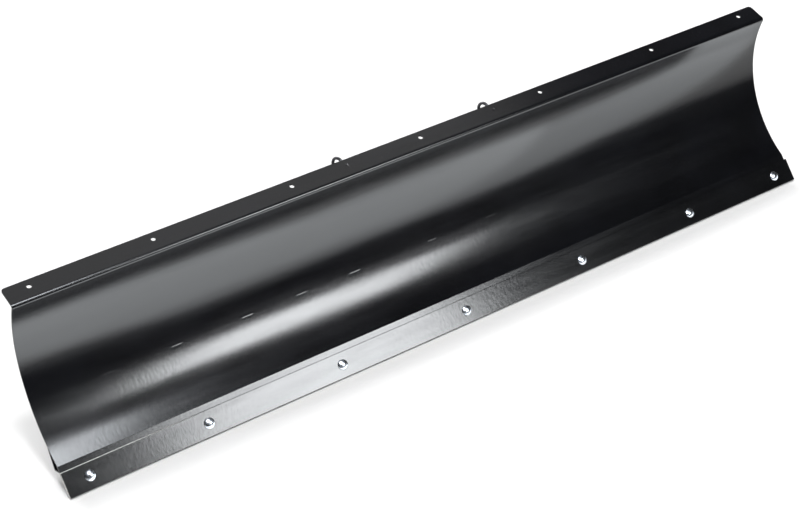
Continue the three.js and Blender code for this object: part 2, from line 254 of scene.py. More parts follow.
class Nodes(Tree):
    """The node tree of a new material for the object's pieces."""

    def __init__(self, name):
        self.material = bpy.data.materials.new(f"{name}_finish")
        super().__init__(self.material)
        self.shader = self.tree.nodes["Principled BSDF"]
        self.place = self.add("ShaderNodeTexCoord").outputs["Object"]

    def stretched(self, scale):
        mapping = self.add("ShaderNodeMapping")
        mapping.inputs["Scale"].default_value = scale
        self.link(self.place, mapping.inputs["Vector"])
        return mapping.outputs["Vector"]

    def noise(self, scale, detail=3.0, roughness=0.5, stretch=(1, 1, 1)):
        node = self.add("ShaderNodeTexNoise")
        node.inputs["Scale"].default_value = scale
        node.inputs["Detail"].default_value = detail
        node.inputs["Roughness"].default_value = roughness
        self.link(self.stretched(stretch), node.inputs["Vector"])
        return node.outputs["Fac"]

    def mix(self, factor, a, b):
        node = self.add("ShaderNodeMix", data_type="RGBA")
        for index, value in ((0, factor), (6, a), (7, b)):      # the colour mix's sockets
            self.feed(node.inputs[index], value)
        return node.outputs[2]

    def worn_edges(self, low, high):
        """Sharp places, from 0 to 1, on the faces that mark_edges has marked."""
        pointiness = self.add("ShaderNodeNewGeometry").outputs["Pointiness"]
        edge = self.add("ShaderNodeAttribute")
        edge.attribute_name = "edge"
        sharp = self.remap(pointiness, low, high, 0, 1)
        return self.math("MULTIPLY", sharp, edge.outputs["Fac"])

    def bump(self, height, distance, after=None):
        node = self.add("ShaderNodeBump")
        node.inputs["Strength"].default_value = 1
        node.inputs["Distance"].default_value = distance
        self.link(height, node.inputs["Height"])
        if after is not None:
            self.link(after, node.inputs["Normal"])
        return node.outputs["Normal"]

    def finish(self, color, roughness, normal, **uniform):
        self.link(color, self.shader.inputs["Base Color"])
        self.link(roughness, self.shader.inputs["Roughness"])
        self.link(normal, self.shader.inputs["Normal"])
        for name, value in uniform.items():
            self.shader.inputs[name.replace("_", " ")].default_value = value
        return self.material


def strip_basis():
    """X along the blade, Y up the strip, Z out of its front face, from the bolt row."""
    basis = Matrix(((1, 0, 0), (0, *STRIP_UP), (0, *STRIP_OUT))).transposed().to_4x4()
    return Matrix.Translation((0, *BOLT_ROW)) @ basis


def bar_bare_and_highlight(n):
    """Share of bare, lighter steel on the wear bar: on its left end, and along its top edge near
    that end, where it is a painted highlight standing in for a bright reflected line.
    """
    to_bar = (PLACE @ strip_basis()).inverted()
    turned = n.add("ShaderNodeMapping")
    turned.inputs["Location"].default_value = to_bar.translation
    turned.inputs["Rotation"].default_value = to_bar.to_euler()
    n.link(n.place, turned.inputs["Vector"])
    split = n.add("ShaderNodeSeparateXYZ")
    n.link(turned.outputs["Vector"], split.inputs["Vector"])
    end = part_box("wear_bar")[0].x
    # Top edge near the left end: bare steel as a painted highlight, fading out from 0.10 to 0.30
    # m.
    top = n.remap(split.outputs["Y"], BAR_HEIGHT / 2 - 0.0016, BAR_HEIGHT / 2 - 0.0006, 0, 1)
    near = n.remap(split.outputs["X"], end + 0.10, end + 0.30, 1, 0)
    side = n.remap(split.outputs["X"], end + 0.0006, end + 0.0012, 1, 0)
    return n.math("MAXIMUM", n.math("MULTIPLY", top, near), n.math("MULTIPLY", side, 0.9))


def powder_coat(name, color, gloss, peel, bare_steel_and_highlight=None):
    """Black powder coat: orange peel, faint waves, wipe marks, dust and rubbed edges."""
    n = Nodes(name)
    cloud = n.noise(9, 4, 0.6)
    wipes = n.noise(5, 5, 0.65, (1, 9, 9))
    specks = n.remap(n.noise(900, 2, 0.6), 0.69, 0.78, 0, 1)
    rubbed = n.math("MULTIPLY", n.worn_edges(0.54, 0.62), n.remap(n.noise(60, 4), 0.42, 0.6, 0, 1))
    tint = tuple(c * 1.9 for c in color)
    shade = n.mix(n.remap(cloud, 0.35, 0.65, 0, 1), color, tint)
    shade = n.mix(n.math("MULTIPLY", specks, 0.25), shade, (0.09, 0.09, 0.088))
    shade = n.mix(n.math("MULTIPLY", rubbed, 0.35), shade, (0.16, 0.16, 0.165))
    rough = n.math("ADD", n.remap(wipes, 0.3, 0.7, gloss - 0.025, gloss + 0.035),
                   n.math("MULTIPLY", specks, 0.25))
    wave = n.bump(n.noise(2.6, 1.0, 0.4, (0.45, 1, 1)), 0.004)
    ripple = n.bump(n.noise(180, 2, 0.5, (1, 0.5, 0.5)), 0.00009, wave)
    fine = n.bump(n.noise(330, 2, 0.5), peel, ripple)
    # Bare steel where asked: on the wear bar, its left end and a painted highlight along the top
    # edge near it.
    if bare_steel_and_highlight:
        share = bare_steel_and_highlight(n)
        shade = n.mix(share, shade, (0.55, 0.54, 0.51))
        n.link(share, n.shader.inputs["Metallic"])
        rough = n.math("ADD", rough, n.math("MULTIPLY", share, 0.2))
    return n.finish(shade, rough, fine, IOR=1.5)


def zinc_plate(name, color, gloss):
    """Bright zinc plate: slight cloudiness, colour drift and handling scuffs."""
    n = Nodes(name)
    cloud = n.remap(n.noise(170, 4, 0.6), 0.3, 0.7, 0, 1)
    scuffs = n.remap(n.noise(420, 3, 0.6, (1, 5, 1)), 0.6, 0.72, 0, 1)
    blue = tuple(c * f for c, f in zip(color, (0.88, 0.93, 1.0)))
    shade = n.mix(cloud, color, blue)
    shade = n.mix(n.math("MULTIPLY", scuffs, 0.4), shade, (0.33, 0.33, 0.34))
    rough = n.math("ADD", n.remap(cloud, 0, 1, gloss, gloss + 0.12),
                   n.math("MULTIPLY", scuffs, 0.15))
    dents = n.bump(n.noise(260, 3, 0.55), 0.00012)
    return n.finish(shade, rough, dents, Metallic=1.0)


def oiled_steel(name, color):
    """Dark heat-treated steel with mill scale and a few bright rubs."""
    n = Nodes(name)
    scale = n.remap(n.noise(140, 5, 0.65), 0.35, 0.65, 0, 1)
    rubs = n.math("MULTIPLY", n.worn_edges(0.52, 0.6), n.remap(n.noise(90, 4), 0.45, 0.6, 0, 1))
    shade = n.mix(scale, color, tuple(c * 1.8 for c in color))
    shade = n.mix(n.math("MULTIPLY", rubs, 0.7), shade, (0.42, 0.42, 0.43))
    rough = n.remap(scale, 0, 1, 0.3, 0.46)
    pits = n.bump(n.noise(420, 4, 0.6), 0.00018)
    return n.finish(shade, rough, pits, Metallic=0.9)


BLADE_PAINT = powder_coat("blade_paint", (0.0021, 0.0023, 0.0032), 0.19, 0.00003)
BAR_PAINT = powder_coat("bar_paint", (0.0026, 0.0028, 0.0034), 0.18, 0.00004, bar_bare_and_highlight)
ZINC = zinc_plate("zinc", (0.70, 0.72, 0.75), 0.2)
EYE_STEEL = oiled_steel("eye_steel", (0.055, 0.055, 0.06))


# ---- Mesh helpers ----

def new_mesh(name, verts, faces):
    mesh = bpy.data.meshes.new(name)
    mesh.from_pydata([tuple(v) for v in verts], [], faces)
    mesh.update()
    return mesh


def evaluated(obj):
    """The object's mesh with its modifiers or curve settings applied."""
    graph = bpy.context.evaluated_depsgraph_get()
    return bpy.data.meshes.new_from_object(obj.evaluated_get(graph))


def link(obj):
    bpy.context.scene.collection.objects.link(obj)
    return obj


def outward(mesh):
    bm = bmesh.new()
    bm.from_mesh(mesh)
    bmesh.ops.remove_doubles(bm, verts=bm.verts, dist=1e-6)
    bmesh.ops.recalc_face_normals(bm, faces=bm.faces)
    bm.to_mesh(mesh)
    bm.free()
    return mesh


def bevelled(mesh, width, angle):
    """Rounds the mesh's sharp edges."""
    holder = link(bpy.data.objects.new("holder", outward(mesh)))
    bevel = holder.modifiers.new("round", "BEVEL")
    bevel.width = width
    bevel.segments = 2
    bevel.limit_method = "ANGLE"
    bevel.angle_limit = angle
    result = evaluated(holder)
    bpy.data.objects.remove(holder)
    return result


def joined(name, meshes):
    """One mesh with every part of the given meshes, each a closed shell of its own."""
    bm = bmesh.new()
    for mesh in meshes:
        bm.from_mesh(mesh)
    result = bpy.data.meshes.new(name)
    bm.to_mesh(result)
    bm.free()
    return result


def moved(mesh, matrix):
    mesh = mesh.copy()
    mesh.transform(matrix)
    return mesh


def show(name, mesh, material, body, replaces=()):
    """Puts a finished mesh, drawn in the working attitude, into the scene as a piece."""
    mesh.transform(PLACE)
    mesh.name = name
    mesh.materials.clear()
    mesh.materials.append(material)
    for polygon in mesh.polygons:
        polygon.use_smooth = True
        polygon.material_index = 0
    if "edge" not in mesh.attributes:
        mark_edges(mesh, lambda face: True)
    mesh.set_sharp_from_angle(angle=rad(50))
    obj = link(bpy.data.objects.new(name, mesh))
    weighted = obj.modifiers.new("normals", "WEIGHTED_NORMAL")
    weighted.mode = "FACE_AREA"
    weighted.weight = 90
    weighted.keep_sharp = True
    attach(obj, body)
    if replaces:
        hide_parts(*replaces)


def mark_edges(mesh, is_edge):
    """Stores which faces belong to rounded edges, where the paint can be rubbed."""
    layer = mesh.attributes.new("edge", "FLOAT", "FACE")
    layer.data.foreach_set("value", [float(is_edge(face)) for face in mesh.polygons])


def plate(outline, holes, low, high, bevel, basis):
    """A flat plate from low to high along the basis's third axis, cut to the outline."""
    curve = bpy.data.curves.new("outline", "CURVE")
    curve.dimensions = "2D"
    curve.fill_mode = "BOTH"
    for loop in (outline, *holes):
        spline = curve.splines.new("POLY")
        spline.points.add(len(loop) - 1)
        for point, (a, b) in zip(spline.points, loop):
            point.co = (a, b, 0, 1)
        spline.use_cyclic_u = True
    curve.extrude = (high - low) / 2 - bevel
    curve.bevel_depth = bevel
    curve.bevel_resolution = 1
    curve.offset = -bevel
    holder = link(bpy.data.objects.new("holder", curve))
    mesh = evaluated(holder)
    bpy.data.objects.remove(holder)
    mesh = outward(mesh)
    mark_edges(mesh, lambda face: 0.1 < abs(face.normal.z) < 0.99)
    mesh.transform(Matrix.Translation((0, 0, (low + high) / 2)))
    mesh.transform(basis)
    return mesh


# Axes of a plate drawn in (Y, Z) with its thickness along X, and of one drawn in (X, Y).
ACROSS_X = Matrix(((0, 0, 1, 0), (1, 0, 0, 0), (0, 1, 0, 0), (0, 0, 0, 1)))
FLAT = Matrix.Identity(4)


def arc(centre, radius, start, end, steps):
    return [
        (centre[0] + radius * math.cos(start + (end - start) * i / steps),
         centre[1] + radius * math.sin(start + (end - start) * i / steps))
        for i in range(steps + 1)
    ]


def ring(centre, radius, steps):
    return arc(centre, radius, 0, 2 * math.pi, steps)[:-1]


def rectangle(a, b):
    """Corners of a rectangle, from the low and high values of its two coordinates."""
    return [(a[0], b[0]), (a[1], b[0]), (a[1], b[1]), (a[0], b[1])]


def grid_faces(rows, columns):
    """Quads between successive rings of vertices, each ring having the same count."""
    faces = []
    for i in range(rows - 1):
        for j in range(columns):
            k = (j + 1) % columns
            faces.append((i * columns + j, i * columns + k,
                          (i + 1) * columns + k, (i + 1) * columns + j))
    return faces


def around(radii, z):
    """A ring of vertices about Z, one at each radius."""
    turns = [2 * math.pi * j / len(radii) for j in range(len(radii))]
    return [Vector((r * math.cos(a), r * math.sin(a), z)) for r, a in zip(radii, turns)]


def capped(name, low, rings, high):
    """A closed surface through rings of vertices, with a point on the axis at each end."""
    segments = len(rings[0])
    verts = [Vector((0, 0, low)), *(v for one in rings for v in one), Vector((0, 0, high))]
    faces = [tuple(v + 1 for v in face) for face in grid_faces(len(rings), segments)]
    last = len(verts) - 1
    for j in range(segments):
        k = (j + 1) % segments
        faces.append((0, 1 + k, 1 + j))
        faces.append((last, last - segments + j, last - segments + k))
    return outward(new_mesh(name, verts, faces))


def revolved(profile, segments=56):
    """A solid of revolution about Z, from (radius, z) points that start and end on the axis."""
    rings = [around([radius] * segments, z) for radius, z in profile[1:-1]]
    return capped("revolved", profile[0][1], rings, profile[-1][1])


def threaded(radius, low, high, pitch, segments=28):
    """A threaded rod along Z: a true helix, run out at both ends under a chamfer."""
    depth = pitch * 0.55
    rows = round((high - low) / pitch * 8)
    rings = []
    for i in range(rows + 1):
        z = low + (high - low) * i / rows
        chamfer = max(0.0, pitch - min(z - low, high - z)) * 0.8
        turns = [(z / pitch - j / segments) % 1 for j in range(segments)]
        grooves = [depth * min(1.0, 1.25 * (1 - abs(2 * turn - 1))) for turn in turns]
        rings.append(around([radius - max(groove, chamfer) for groove in grooves], z))
    return capped("thread", low, rings, high)


def hex_radius(across, angle):
    """Distance from the axis to a hexagon's side, in the direction of the angle."""
    return across / 2 / math.cos((angle + math.pi / 6) % (math.pi / 3) - math.pi / 6)


def hex_nut(across, height, hole, skirt=None, segments=72):
    """A nut along Z from z = 0, with chamfered corners and, if asked, a round skirt."""
    rounding = across * 0.485
    loops = []

    def loop(radius_at, z_at):
        loops.append([
            Vector((radius_at(a) * math.cos(a), radius_at(a) * math.sin(a), z_at(a)))
            for a in (2 * math.pi * j / segments for j in range(segments))
        ])

    def corner(angle):
        return hex_radius(across, angle)

    def cut_back(angle):
        return max(0.0, corner(angle) - rounding) * math.tan(rad(30))

    bore = hole / 2
    lead = height * 0.07
    loop(lambda a: bore, lambda a: lead)
    loop(lambda a: bore + lead, lambda a: 0)
    if skirt:
        edge, top = 0.0004, 0.0017          # the skirt's rounding, and its height at the rim
        for inset, z in ((edge, 0), (0, edge), (0, top - edge), (edge, top)):
            loop(lambda a: skirt / 2 - inset, lambda a: z)
        loop(corner, lambda a: 2 * top - 0.25 * (corner(a) - across / 2))
    else:
        loop(lambda a: rounding, lambda a: 0)
        loop(corner, cut_back)
    loop(corner, lambda a: height - cut_back(a))
    loop(lambda a: rounding, lambda a: height)
    loop(lambda a: bore + lead, lambda a: height)
    loop(lambda a: bore, lambda a: height - lead)
    loops.append(loops[0])              # closes the bore; outward() merges the doubled points
    verts = [v for one in loops for v in one]
    return outward(new_mesh("nut", verts, grid_faces(len(loops), segments)))


def swept(path, radius_at, sides=16, frame_up=Vector((1, 0, 0))):
    """A closed tube along a polyline, with radius_at(share of length) as its radius."""
    lengths = [0.0]
    for a, b in zip(path, path[1:]):
        lengths.append(lengths[-1] + (b - a).length)
    verts = []
    for i, point in enumerate(path):
        ahead = path[min(i + 1, len(path) - 1)] - path[max(i - 1, 0)]
        ahead.normalize()
        across = ahead.cross(frame_up).normalized()
        other = across.cross(ahead).normalized()
        r = radius_at(lengths[i] / lengths[-1])
        for j in range(sides):
            a = 2 * math.pi * j / sides
            verts.append(point + across * (r * math.cos(a)) + other * (r * math.sin(a)))
    faces = grid_faces(len(path), sides)
    faces.append(tuple(range(sides)))
    faces.append(tuple(range(len(verts) - sides, len(verts))))
    return outward(new_mesh("tube", verts, faces))


# ---- Moldboard ----

HOLE_SIDES = 8              # vertices along each side of the square patch round a hole
PATCH = 0.0095              # half the patch's width


def patch_steps(half=PATCH):
    """Offsets along a square patch's side that lie at equal angles from its middle."""
    return [half * math.tan(rad(-45 + 90 * k / HOLE_SIDES)) for k in range(HOLE_SIDES + 1)]


def patch_cells(i, j):
    """The grid cells of the patch whose low corner is cell i, j."""
    return {(i + a, j + b) for a in range(HOLE_SIDES) for b in range(HOLE_SIDES)}


def rolled_section():
    """The front face's section, bottom edge first: a list of (point, front normal, part, s)."""
    rows = []
    trim = CREASE_ROUND * math.tan((-ROLL_LOW - STRIP_TILT) / 2) + 0.0004
    strip = [-BOLTS_TO_EDGE, *patch_steps(), 0.014, 0.022, 0.030, CREASE_TO_BOLTS - trim]
    for s in strip:
        rows.append((step(BOLT_ROW, STRIP_UP, s), STRIP_OUT, "strip", s))
    low = ROLL_LOW + trim / ROLL_RADIUS
    start = rows[-1][0]
    end = on_roll(ROLL_RADIUS, low)
    for i in range(1, 6):
        t = i / 6
        point = tuple(
            (1 - t) ** 2 * a + 2 * t * (1 - t) * b + t * t * c
            for a, b, c in zip(start, CREASE, end)
        )
        turned = Vector(STRIP_OUT).lerp(Vector((-math.cos(low), -math.sin(low))), t)
        rows.append((point, tuple(turned.normalized()), "crease", 0))
    for angle in roll_angles(low):
        rows.append((on_roll(ROLL_RADIUS, angle), (-math.cos(angle), -math.sin(angle)),
                     "roll", angle))
    bend_from = ROLL_HIGH + math.pi
    bend_to = FLANGE_RISE + math.pi / 2
    for i in range(1, 13):
        a = bend_from + (bend_to - bend_from) * i / 12
        outwards = (math.cos(a), math.sin(a))
        rows.append((step(BEND_CENTRE, outwards, FLANGE_BEND), outwards, "bend", 0))
    patch = [FLANGE_HOLE_AT + s for s in patch_steps()]
    for s in (0.004, 0.009, *patch, 0.037, 0.039, FLANGE_FLAT):
        rows.append((step(FLANGE_START, FLANGE_ALONG, s), FLANGE_UP, "flange", s))
    return rows


def roll_angles(low):
    """Evenly spaced rows up the roll, with closer ones round the line of weld marks."""
    coarse = rad(1)
    fine = rad(0.1)
    near = rad(0.85)
    angles = [low]
    while angles[-1] < ROLL_HIGH - coarse:
        size = fine if abs(angles[-1] - WELD_ANGLE) < near else coarse
        angles.append(angles[-1] + size)
    angles.append(ROLL_HIGH)
    return angles


def skin_columns():
    """X places of the sheet's columns, with those of the hole patches and the weld marks."""
    half = SKIN_LENGTH / 2
    patches = list(BOLT_X) + weld_spot_x()
    inside = [x + s for x in patches for s in patch_steps()]
    ends = [side * (half - FLANGE_CORNER * (1 - math.sin(rad(15 * k))))
            for side in (-1, 1) for k in range(7)]
    marks = [x + STITCH_LENGTH * k / 12 for x in STITCH_X for k in range(-8, 9)]
    plain = [-half + 0.03 * k for k in range(1, 60)]
    free = [x for x in (*marks, *plain, *ends, -half, half)
            if abs(x) <= half + 1e-9 and all(abs(x - p) > PATCH + 0.0008 for p in patches)]
    columns = []
    for x in sorted(inside + free):
        if not columns or x - columns[-1] > 2e-4:
            columns.append(x)
    return columns


def weld_spot_x():
    return [side * abs(RIB_X["left"]) + WELD_MARK_ASIDE for side in SIDES.values()]


def stitch_ridge(x, angle):
    """Height of the faint ridges that the stitch welds leave in the front face."""
    half_width = 0.0012
    height = 0.00017
    across = abs(angle - WELD_ANGLE) * ROLL_RADIUS / half_width
    if across > 1:
        return 0.0
    total = 0.0
    for k, place in enumerate(STITCH_X):
        along = abs(x - place) / (STITCH_LENGTH / 2)
        strength = 0.8 + 0.4 * ((k * 7) % 5) / 4        # uneven, from 0.8 to 1.2
        total += height * strength * math.exp(-(along ** 8)) * (1 - across)
    return total


class Sheet:
    """Front and back faces of a bent sheet, as one grid of columns and rows."""

    def __init__(self):
        self.columns = skin_columns()
        self.rows = rolled_section()
        self.verts = []
        self.faces = []
        self.front = self.face_grid(0.0)
        self.back = self.face_grid(SKIN)

    def vertex(self, x, y, z):
        self.verts.append((x, y, z))
        return len(self.verts) - 1

    def face_grid(self, depth):
        return [[self.point(x, row, depth) for row in self.rows] for x in self.columns]

    def point(self, x, row, depth):
        point, normal, part, s = row
        if part == "roll":
            depth -= stitch_ridge(x, s)
        if part == "flange":
            point = step(point, FLANGE_ALONG, -self.corner_trim(x, s))
        y, z = step(point, normal, -depth)
        return self.vertex(x, y, z)

    def corner_trim(self, x, s):
        """How far a flange point is drawn in to round the flange's back corners."""
        from_end = SKIN_LENGTH / 2 - abs(x)
        if from_end >= FLANGE_CORNER or s <= FLANGE_HOLE_AT:
            return 0.0
        short = FLANGE_CORNER - math.sqrt(FLANGE_CORNER ** 2 - (FLANGE_CORNER - from_end) ** 2)
        return short * (s - FLANGE_HOLE_AT) / (FLANGE_FLAT - FLANGE_HOLE_AT)

    def span(self, x):
        """Index of the first column of the patch centred at x."""
        low = x - PATCH
        return min(range(len(self.columns)), key=lambda i: abs(self.columns[i] - low))

    def patch_loop(self, grid, i, j):
        """The patch's border, counterclockwise in (X, up the sheet) from its low corner."""
        n = HOLE_SIDES
        loop = [grid[i + k][j] for k in range(n)]
        loop += [grid[i + n][j + k] for k in range(n)]
        loop += [grid[i + n - k][j + n] for k in range(n)]
        loop += [grid[i][j + n - k] for k in range(n)]
        return loop

    def circle(self, x, flat, radius, depth):
        origin, along, normal = flat
        count = 4 * HOLE_SIDES
        loop = []
        for k in range(count):
            a = rad(-135) + 2 * math.pi * k / count
            y, z = step(step(origin, along, radius * math.sin(a)), normal, -depth)
            loop.append(self.vertex(x + radius * math.cos(a), y, z))
        return loop

    def bridge(self, a, b):
        for k in range(len(a)):
            m = (k + 1) % len(a)
            self.faces.append((a[k], a[m], b[m], b[k]))

    def hole(self, x, flat, diameter, i, j):
        rims = []
        for grid, depth in ((self.front, 0.0), (self.back, SKIN)):
            rim = self.circle(x, flat, diameter / 2, depth)
            self.bridge(self.patch_loop(grid, i, j), rim)
            rims.append(rim)
        self.bridge(*rims)

    def dimple(self, x, flat, i, j):
        """A weld spot: a shallow crater in the front face only, with a raised lip."""
        loop = self.patch_loop(self.front, i, j)
        shape = ((0.0042, 0.0), (0.0034, -0.00035), (0.0026, 0.0002), (0.0016, 0.0007),
                 (0.0007, 0.0009))
        for radius, depth in shape:
            rim = self.circle(x, flat, radius, depth)
            self.bridge(loop, rim)
            loop = rim
        self.faces.append(tuple(loop))

    def build(self):
        parts = [row[2] for row in self.rows]
        strip_j = parts.index("strip") + 1
        flange_j = parts.index("flange") + 2
        holes = set()
        for x in BOLT_X:
            i = self.span(x)
            self.hole(x, STRIP, BOLT_HOLE, i, strip_j)
            self.hole(x, FLANGE, FLANGE_HOLE, i, flange_j)
            holes |= patch_cells(i, strip_j) | patch_cells(i, flange_j)
        spots = set()
        for x in weld_spot_x():
            i = self.span(x)
            self.dimple(x, FLANGE, i, flange_j)
            spots |= patch_cells(i, flange_j)
        self.cells(self.front, holes | spots)
        self.cells(self.back, holes)
        self.rim()
        return new_mesh("moldboard", self.verts, self.faces)

    def cells(self, grid, gone):
        for i in range(len(self.columns) - 1):
            for j in range(len(self.rows) - 1):
                if (i, j) not in gone:
                    self.faces.append((grid[i][j], grid[i + 1][j],
                                       grid[i + 1][j + 1], grid[i][j + 1]))

    def rim(self):
        for line in (0, len(self.columns) - 1):
            for j in range(len(self.rows) - 1):
                self.faces.append((self.front[line][j], self.front[line][j + 1],
                                   self.back[line][j + 1], self.back[line][j]))
        for line in (0, len(self.rows) - 1):
            for i in range(len(self.columns) - 1):
                self.faces.append((self.front[i][line], self.front[i + 1][line],
                                   self.back[i + 1][line], self.back[i][line]))


def make_moldboard():
    mesh = bevelled(Sheet().build(), SKIN_EDGE_ROUND, rad(55))
    show("moldboard_skin", mesh, BLADE_PAINT, "root", ["moldboard"])


# ---- Wear bar, bolts and nuts ----

def make_wear_bar():
    low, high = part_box("wear_bar")
    half = (high.x - low.x) / 2
    h = BAR_HEIGHT / 2
    outline = []
    for x, y, turn in ((half, h, 0), (-half, h, 90), (-half, -h, 180), (half, -h, 270)):
        centre = (x - math.copysign(BAR_CORNER, x), y - math.copysign(BAR_CORNER, y))
        outline += arc(centre, BAR_CORNER, rad(turn), rad(turn + 90), 4)
    s = BOLT_SHANK / 2 + GAP
    holes = [rectangle((x - s, x + s), (-s, s)) for x in BOLT_X]
    mesh = plate(outline, holes, GAP, GAP + BAR_THICKNESS, BAR_EDGE_ROUND, strip_basis())
    show("wear_bar_face", mesh, BAR_PAINT, "root", ["wear_bar"])


def bolt_mesh():
    """A carriage bolt along Z: domed head above z = 0, square neck and thread below it."""
    half = BOLT_HEAD / 2
    rim = 0.0011
    cap = BOLT_HEAD_HEIGHT - rim
    ball = (half * half + cap * cap) / (2 * cap)
    span = math.asin(half / ball)
    slopes = [span * (1 - i / 12) for i in range(1, 12)]
    dome = [(ball * math.sin(a), BOLT_HEAD_HEIGHT - ball + ball * math.cos(a)) for a in slopes]
    edge = [(half - 0.0005, 0), (half - 0.0001, 0.0003), (half, 0.0007), (half - 0.0001, rim)]
    head = revolved([(0, 0), *edge, *dome, (0, BOLT_HEAD_HEIGHT)])
    s = BOLT_SHANK / 2
    neck = plate(rectangle((-s, s), (-s, s)), [], -BAR_THICKNESS - GAP, 0.0005, 0.0004, FLAT)
    thread = threaded(s, -BOLT_LENGTH, -BAR_THICKNESS, BOLT_PITCH)
    return joined("bolt", [head, neck, thread])


def make_fasteners():
    bolt = bolt_mesh()
    nut = hex_nut(FLANGE_NUT_ACROSS, FLANGE_NUT_HEIGHT, BOLT_SHANK + 2 * GAP, FLANGE_NUT_SKIRT)
    head_at = 2 * GAP + BAR_THICKNESS
    nut_at = -SKIN - GAP
    turn_back = Matrix.Rotation(math.pi, 4, "X")
    for i, x in enumerate(BOLT_X, 1):
        at = strip_basis() @ Matrix.Translation((x, 0, head_at))
        spin = Matrix.Rotation(rad(random.uniform(-1.5, 1.5)), 4, "Z")
        show(f"bolt_{i}", moved(bolt, at @ spin), ZINC, "root", [f"carriage_bolt_{i}"])
        at = strip_basis() @ Matrix.Translation((x, 0, nut_at)) @ turn_back
        spin = Matrix.Rotation(rad(random.uniform(0, 60)), 4, "Z")
        show(f"nut_{i}", moved(nut, at @ spin), ZINC, "root", [f"flange_nut_{i}"])


# ---- Stiffeners ----

def make_stiffeners():
    inner = LOW_Y - LOW_THICKNESS
    toe = LOW_Z - LOW_DROP
    web = [(inner, LOW_Z), (LOW_Y, LOW_Z), (LOW_Y, roll_back_z(LOW_Y, GAP)),
           (inner, roll_back_z(inner, GAP))]
    foot = [(strip_back_y(toe) + GAP, toe), (inner - GAP, LOW_Z),
            (inner - GAP, LOW_Z + LOW_THICKNESS),
            (strip_back_y(toe + LOW_THICKNESS) + GAP, toe + LOW_THICKNESS)]
    front = on_roll(BACK_RADIUS, math.asin((MID_Z - ROLL_Z) / BACK_RADIUS))[0] + 2 * GAP
    mid = rectangle((front, front + MID_DEPTH), MID_SIDES)
    for node, section, bevel in (("bottom_stiffener_web", web, 0.0004),
                                 ("bottom_stiffener_foot", foot, 0.0004),
                                 ("mid_stiffener", mid, 0.0006)):
        low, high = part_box(node)
        mesh = plate(section, [], low.x, high.x, bevel, ACROSS_X)
        show(f"{node}_plate", mesh, BLADE_PAINT, "root", [node])


# ---- Ribs and anchors ----

def ear_radius():
    """The ribs' ears reach down to the floor that the wear bar's edge stands on."""
    return (PLACE @ Vector((0, *PIVOT))).z


def touch_angles(point, radius):
    """Where the two lines from a point touch a circle of that radius about the pivot."""
    dy = point[0] - PIVOT[0]
    dz = point[1] - PIVOT[1]
    towards = math.atan2(dz, dy)
    spread = math.acos(radius / math.hypot(dy, dz))
    return towards - spread, towards + spread


def under_flange(y):
    below = step(FLANGE_START, FLANGE_UP, -SKIN - GAP)
    return (y, below[1] + (y - below[0]) * math.tan(FLANGE_RISE))


def rib_outline():
    centre = (ROLL_Y, ROLL_Z)
    radius = BACK_RADIUS + RIB_OFF_SKIN
    top_front = rad(44)
    notch_top = MID_SIDES[1] + GAP
    notch_low = MID_SIDES[0] - GAP
    notch_back = BACK_RADIUS + ROLL_Y + MID_DEPTH + 3 * GAP
    foot_y = LOW_Y + GAP
    foot = (foot_y, LOW_Z)
    ear = ear_radius()

    def angle_at(z):
        return math.asin((z - ROLL_Z) / radius)

    return [
        under_flange(on_roll(radius, top_front)[0]),
        *arc(centre, radius, top_front, angle_at(notch_top), 36),
        (notch_back, notch_top),
        (notch_back, notch_low),
        *arc(centre, radius, angle_at(notch_low), -math.acos((foot_y - ROLL_Y) / radius), 16),
        foot,
        *arc(PIVOT, ear, touch_angles(foot, ear)[1], touch_angles(RIB_KNEE, ear)[0], 40),
        RIB_KNEE,
        RIB_TOP,
        under_flange(RIB_TOP_FRONT),
    ]


def make_ribs():
    hole = ring(PIVOT, PIVOT_HOLE / 2, 40)
    for side, sign in SIDES.items():
        reach = sign * (RIB_CLEAR + RIB) / 2
        for part, x in (("inner", RIB_X[side] - reach), ("outer", RIB_X[side] + reach)):
            mesh = plate(rib_outline(), [hole], x - RIB / 2, x + RIB / 2, RIB_EDGE_ROUND,
                         ACROSS_X)
            show(f"rib_plate_{side}_{part}", mesh, BLADE_PAINT, "root", [f"rib_{side}_{part}"])


def anchor_front():
    return on_roll(BACK_RADIUS, math.asin((ANCHOR_Z - ROLL_Z) / BACK_RADIUS))[0] + RIB_OFF_SKIN


def make_anchors():
    half = RIB_CLEAR / 2 - GAP
    for side in SIDES:
        x = RIB_X[side]
        outline = rectangle((x - half, x + half), (anchor_front(), ANCHOR_BACK))
        hole = ring((x, EYE_Y), EYE_HOLE / 2, 36)
        mesh = plate(outline, [hole], ANCHOR_Z, ANCHOR_Z + ANCHOR, RIB_EDGE_ROUND, FLAT)
        show(f"anchor_plate_{side}", mesh, BLADE_PAINT, "root", [f"spring_anchor_{side}"])


# ---- Eyebolts ----

def eye_path():
    """Middle of the bent rod: up the shank, aside, and almost round the eye."""
    join_at = rad(-52)
    close_at = rad(228)
    start = Vector((0, 0, -EYE_NECK - 0.0005))
    meet = Vector((0, EYE_RING * math.cos(join_at), EYE_RING * math.sin(join_at)))
    along = Vector((0, -math.sin(join_at), math.cos(join_at)))
    a = start + Vector((0, 0, 0.010))
    b = meet - along * 0.009
    path = []
    for i in range(14):
        t = i / 14
        path.append(start * (1 - t) ** 3 + a * (3 * t * (1 - t) ** 2)
                    + b * (3 * t * t * (1 - t)) + meet * t ** 3)
    for y, z in arc((0, 0), EYE_RING, join_at, close_at, 44):
        path.append(Vector((0, y, z)))
    return path


def eyebolt_mesh():
    rod = bevelled(swept(eye_path(), lambda s: EYE_ROD / 2, 24), 0.0007, rad(60))
    thread = threaded(EYE_ROD / 2, EYE_SHANK_END - EYE_Z, -EYE_NECK, EYE_PITCH)
    return joined("eyebolt", [rod, thread])


